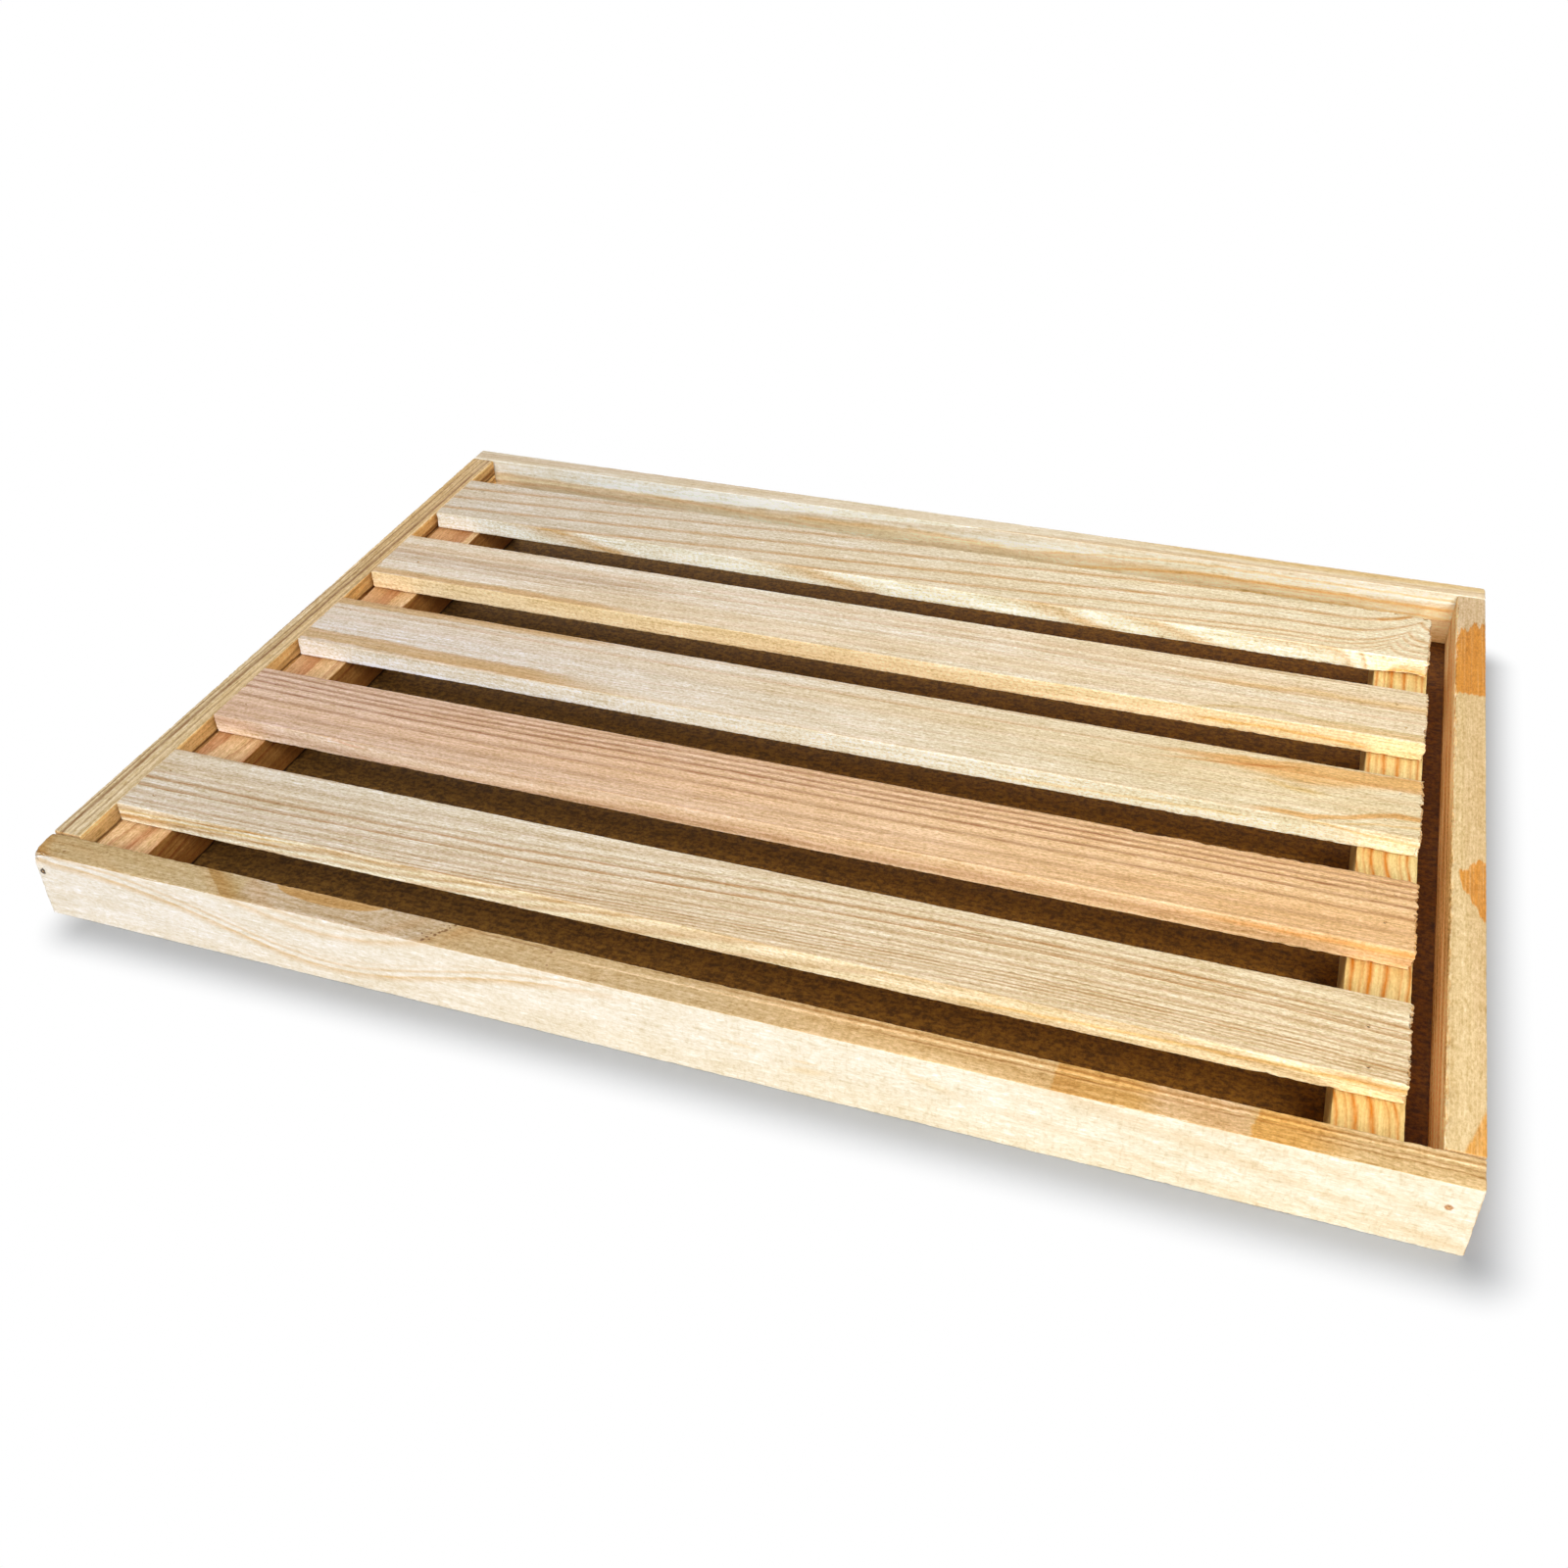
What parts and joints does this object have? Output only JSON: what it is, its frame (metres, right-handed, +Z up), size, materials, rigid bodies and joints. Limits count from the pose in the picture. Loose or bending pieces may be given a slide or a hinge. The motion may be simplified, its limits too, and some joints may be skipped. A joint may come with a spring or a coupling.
{
  "type": "bread board with crumb catcher",
  "caption": "Slatted wooden bread board whose grid lifts out of a shallow framed tray that catches the crumbs.",
  "frame": {"origin": "on the ground under the middle of the tray", "axes": "+X along the front from left to right, +Y from the front to the back, +Z up"},
  "size_m": [0.4, 0.283, 0.0265],
  "materials": {
    "pale_pine": "raw sawn, matt",
    "tan_pine": "raw sawn, matt",
    "yellow_pine": "raw planed, matt",
    "planed_pine": "raw planed, matt",
    "pink_pine": "raw planed, matt",
    "fibreboard": "pressed, matt",
    "brad_steel": "bright wire"
  },
  "bodies": {
    "tray": {"front_rail": "pale_pine", "back_rail": "pale_pine", "left_rail": "tan_pine", "right_rail": "tan_pine", "base_panel": "fibreboard", "corner_brad_front_left": "brad_steel", "corner_brad_front_right": "brad_steel", "corner_brad_back_left": "brad_steel", "corner_brad_back_right": "brad_steel", "panel_pin_1": "brad_steel", "panel_pin_2": "brad_steel", "panel_pin_3": "brad_steel", "panel_pin_4": "brad_steel", "panel_pin_5": "brad_steel", "panel_pin_6": "brad_steel", "panel_pin_7": "brad_steel", "panel_pin_8": "brad_steel", "panel_pin_9": "brad_steel", "panel_pin_10": "brad_steel", "panel_pin_11": "brad_steel", "panel_pin_12": "brad_steel", "panel_pin_13": "brad_steel", "panel_pin_14": "brad_steel"},
    "grid": {"left_batten": "yellow_pine", "right_batten": "yellow_pine", "slat_1": "planed_pine", "slat_2": "pink_pine", "slat_3": "planed_pine", "slat_4": "planed_pine", "slat_5": "planed_pine", "slat_1_brad_left_1": "brad_steel", "slat_1_brad_left_2": "brad_steel", "slat_1_brad_right_1": "brad_steel", "slat_1_brad_right_2": "brad_steel", "slat_2_brad_left_1": "brad_steel", "slat_2_brad_left_2": "brad_steel", "slat_2_brad_right_1": "brad_steel", "slat_2_brad_right_2": "brad_steel", "slat_3_brad_left_1": "brad_steel", "slat_3_brad_left_2": "brad_steel", "slat_3_brad_right_1": "brad_steel", "slat_3_brad_right_2": "brad_steel", "slat_4_brad_left_1": "brad_steel", "slat_4_brad_left_2": "brad_steel", "slat_4_brad_right_1": "brad_steel", "slat_4_brad_right_2": "brad_steel", "slat_5_brad_left_1": "brad_steel", "slat_5_brad_left_2": "brad_steel", "slat_5_brad_right_1": "brad_steel", "slat_5_brad_right_2": "brad_steel"}
  },
  "joints": [
    {"name": "grid_lift", "type": "slide", "parent": "tray", "child": "grid", "axis": [0, 0, 1], "range_m": [0, 0.06]}
  ]
}
